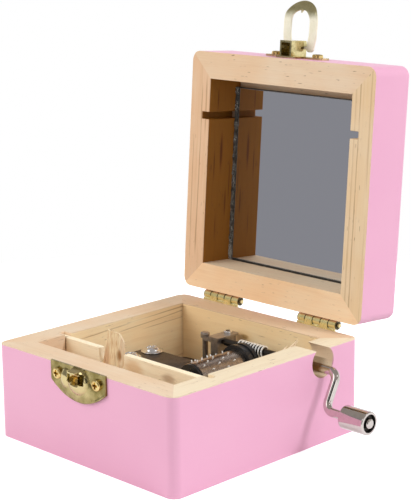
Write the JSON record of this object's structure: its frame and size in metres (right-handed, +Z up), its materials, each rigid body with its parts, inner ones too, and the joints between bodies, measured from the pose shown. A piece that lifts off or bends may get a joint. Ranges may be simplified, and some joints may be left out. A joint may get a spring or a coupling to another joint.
{
  "type": "music box",
  "caption": "Square wooden box with a mirror in its hinged lid, a lift out divider, a hook clasp and a hand cranked comb movement.",
  "frame": {"origin": "centre of the box's underside", "axes": "+X towards the crank, +Y towards the hinges, +Z up"},
  "size_m": [0.127, 0.1343, 0.1632],
  "materials": {
    "painted_wood": "satin paint outside, bare inside",
    "bare_wood": "bare softwood",
    "mirror_glass": "silvered",
    "brass": "thin plated sheet",
    "dull_brass": "satin",
    "cast_metal": "as cast",
    "steel": "ground",
    "bright_steel": "bright",
    "plated_steel": "chrome plated",
    "black_plastic": "moulded"
  },
  "bodies": {
    "base_box": {"base_front_wall": "painted_wood", "base_back_wall": "painted_wood", "base_left_wall": "painted_wood", "base_right_wall": "painted_wood", "floor_board": "bare_wood", "mounting_block": "bare_wood", "hinge_base_leaves": "brass", "hinge_pins": "brass", "hinge_base_nails": "brass", "catch_plate": "brass", "catch_screws": "brass", "bedplate": "cast_metal", "bedplate_screws": "steel", "comb": "steel", "comb_screws": "bright_steel", "worm_bracket": "cast_metal", "bracket_cap": "steel", "bracket_screw": "bright_steel"},
    "divider": {"divider_board": "bare_wood"},
    "lid": {"lid_front_wall": "painted_wood", "lid_back_wall": "painted_wood", "lid_left_wall": "painted_wood", "lid_right_wall": "painted_wood", "lid_top_board": "painted_wood", "mirror": "mirror_glass", "hinge_lid_leaves": "brass", "hinge_lid_nails": "brass", "hasp_plate": "brass", "hasp_screws": "brass"},
    "clasp_loop": {"hasp_loop": "brass"},
    "crank": {"crank_wire": "plated_steel", "worm_shaft": "bright_steel", "knob_rivet": "plated_steel"},
    "knob": {"crank_knob": "plated_steel"},
    "cylinder_group": {"cylinder": "dull_brass", "cylinder_pins": "bright_steel", "cylinder_cap": "black_plastic", "drive_ring": "black_plastic", "cylinder_arbor": "steel", "worm_wheel": "black_plastic"}
  },
  "joints": [
    {"name": "lid_hinge", "type": "hinge", "parent": "base_box", "child": "lid", "pos_m": [0, 0.05214, 0.03943], "axis": [-1, 0, 0], "range_deg": [-94.36, 0]},
    {"name": "divider_lift", "type": "slide", "parent": "base_box", "child": "divider", "axis": [0, 0, 1], "range_m": [0, 0.032]},
    {"name": "loop_swing", "type": "hinge", "parent": "lid", "child": "clasp_loop", "pos_m": [-0.0004, 0.07027, 0.1447], "axis": [-1, 0, 0], "range_deg": [-90, 75]},
    {"name": "crank_spin", "type": "hinge", "parent": "base_box", "child": "crank", "pos_m": [0, 0.029, 0.02984], "axis": [1, 0, 0], "continuous": true},
    {"name": "knob_spin", "type": "hinge", "parent": "crank", "child": "knob", "pos_m": [0.0656, 0.02196, 0.0166], "axis": [1, 0, 0], "continuous": true},
    {"name": "cylinder_spin", "type": "hinge", "parent": "base_box", "child": "cylinder_group", "pos_m": [0.0105, 0, 0.02449], "axis": [0, 1, 0], "continuous": true}
  ],
  "couplings": [
    {"joint": "cylinder_spin", "follows": "crank_spin", "ratio": -0.076923}
  ]
}
